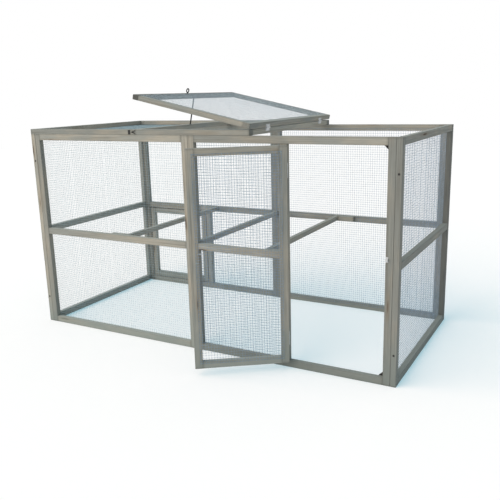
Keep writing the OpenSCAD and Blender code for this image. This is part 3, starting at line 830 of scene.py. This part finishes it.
def add_screw(bm, to_place, spot, thin, side, radius):
    """A screw head that stands on spot and looks along the thin axis."""
    first, second = [unit(i) for i in range(3) if i != thin]
    turn = Matrix.Rotation(draw.uniform(0, math.pi / 2), 2)
    corners = [turn @ corner for corner in cross_corners()]
    rings = []

    def add_ring(flat_points, height):
        ring = []
        for p in flat_points:
            place = spot + radius * (first * p.x + second * p.y) + side * height * unit(thin)
            ring.append(bm.verts.new(to_place @ place))
        rings.append(ring)

    for share, rise in DOME:
        add_ring([corner.normalized() * share for corner in corners], HEAD_HEIGHT * rise)
    add_ring(corners, HEAD_HEIGHT)
    add_ring(corners, HEAD_HEIGHT - CROSS_DEPTH)
    close_rings(bm, rings)


pins = [(low + high) / 2 for low, high in shut_boxes("hinge_pins")]


def leaf_screws(name, places, radius):
    """Screws down the middle of each hinge leaf's flat part."""
    bm = bmesh.new()
    body = body_of[name]
    for low, high in shut_boxes(name):
        size = high - low
        middle = (low + high) / 2
        along = max(range(3), key=lambda i: size[i])
        thin = min(range(3), key=lambda i: size[i])
        wide = 3 - along - thin
        pin = min(pins, key=lambda p: (p - middle).length)
        side = -1.0 if run_middle[thin] > middle[thin] else 1.0
        wood = low[thin] if side > 0 else high[thin]
        free = low[wide] if pin[wide] > middle[wide] else high[wide]
        inward = 1.0 if pin[wide] > middle[wide] else -1.0
        for place in places:
            spot = Vector(low)
            spot[along] = middle[along] + place * size[along]
            spot[wide] = free + inward * LEAF_SCREW_INSET
            spot[thin] = wood + side * SHEET
            add_screw(bm, shut[body].inverted(), spot, thin, side, radius)
    new_piece(name.replace("_leaves", "_screws"), bm, plated_zinc, body)


def plate_screws(name, places, radius):
    """Screws on an upright plate, at shares of its width and height from its middle."""
    bm = bmesh.new()
    body = body_of[name]
    low, high = shut_boxes(name)[0]
    size = high - low
    middle = (low + high) / 2
    side = -1.0 if run_middle.y > middle.y else 1.0
    wood = low.y if side > 0 else high.y
    for across, height in places:
        spot = Vector((middle.x + across * size.x, wood + side * SHEET, middle.z + height * size.z))
        add_screw(bm, shut[body].inverted(), spot, 1, side, radius)
    new_piece(name + "_screws", bm, plated_zinc, body)


leaf_nodes = sorted(name for name in nodes if name.endswith("_leaves"))
for name in leaf_nodes:
    leaf_screws(name, LID_LEAF if name.startswith("lid") else OTHER_LEAF, LEAF_SCREW)
for name, places in PLATES.items():
    plate_screws(name, places, PLATE_SCREW)
print("screwed fittings", len(leaf_nodes) + len(PLATES))

# %% [markdown]
# ## Floor, light and background
#
# The floor is plain and pale. It is lit like the run, and the camera gets just as much
# extra light from it as makes the open floor white, so it keeps the run's shadow, which
# comes out bluish because most of that extra is blue. That only works where the light is
# even, so the main light is a wide soft sun and not a lamp close by. It is warm and comes
# from the front and the left, and a cool glow all round makes the other faces bluish.

# %% Floor and light
FLOOR_SIZE = 24.0
FLOOR_COLOUR = (0.90, 0.91, 0.93)
FLOOR_SEEN = (0.97, 0.70, 0.60)
FLOOR_GLOW = (0.085, 0.33, 0.425)
FLOOR_ROUGHNESS = 0.9
AMBIENT = (0.79, 0.924, 1.0)
AMBIENT_STRENGTH = 0.606
KEY_COLOUR = (1.0, 0.892, 0.79)
KEY_STRENGTH = 2.68
# degrees: from straight in front, above the ground, and across the sun's disc
KEY_TURN = -38.0
KEY_HEIGHT = 34.0
KEY_WIDTH = 75.0


def make_floor():
    """A flat sheet that the camera sees as nearly white."""
    half = FLOOR_SIZE / 2
    bm = bmesh.new()
    corners = ((-half, -half), (half, -half), (half, half), (-half, half))
    bm.faces.new([bm.verts.new((x, y, 0.0)) for x, y in corners])
    mesh = bpy.data.meshes.new("floor")
    bm.to_mesh(mesh)
    bm.free()
    floor = bpy.data.objects.new("floor", mesh)
    bpy.context.scene.collection.objects.link(floor)
    material, tree, shader = new_material("floor_white")
    output = tree.nodes["Material Output"]
    shader.inputs["Roughness"].default_value = FLOOR_ROUGHNESS
    shader.inputs["Specular IOR Level"].default_value = 0.0
    ray = add(tree, "LightPath")
    seen = math_node(tree, "MAXIMUM", ray.outputs["Is Camera Ray"], ray.outputs["Is Glossy Ray"])
    tree.links.new(mixed(tree, seen, FLOOR_COLOUR, FLOOR_SEEN), shader.inputs["Base Color"])
    glow = add(tree, "Emission", {"Color": (*FLOOR_GLOW, 1.0), "Strength": seen})
    both = add(tree, "AddShader", {0: shader.outputs["BSDF"], 1: glow.outputs["Emission"]})
    tree.links.new(both.outputs["Shader"], output.inputs["Surface"])
    mesh.materials.append(material)


def make_world():
    """A cool glow from all round that looks white behind the run."""
    world = bpy.data.worlds.new("studio")
    world.use_nodes = True
    tree = world.node_tree
    tree.nodes.clear()
    output = tree.nodes.new("ShaderNodeOutputWorld")
    ray = add(tree, "LightPath")
    seen = math_node(tree, "MAXIMUM", ray.outputs["Is Camera Ray"], ray.outputs["Is Glossy Ray"])
    seen = math_node(tree, "MAXIMUM", seen, ray.outputs["Is Transmission Ray"])
    ambient = add(tree, "Background", {"Color": (*AMBIENT, 1.0), "Strength": AMBIENT_STRENGTH})
    white = add(tree, "Background", {"Color": (1, 1, 1, 1), "Strength": 1.0})
    mix = add(tree, "MixShader", {0: seen, 1: ambient.outputs[0], 2: white.outputs[0]})
    tree.links.new(mix.outputs[0], output.inputs["Surface"])
    bpy.context.scene.world = world


def add_key():
    """The wide warm sun."""
    data = bpy.data.lights.new("key", "SUN")
    data.energy = KEY_STRENGTH
    data.color = KEY_COLOUR
    data.angle = math.radians(KEY_WIDTH)
    lamp = bpy.data.objects.new("key", data)
    bpy.context.scene.collection.objects.link(lamp)
    lamp.rotation_euler = (math.radians(90 - KEY_HEIGHT), 0.0, math.radians(KEY_TURN))


make_floor()
make_world()
add_key()
bpy.context.scene.view_settings.view_transform = "Standard"
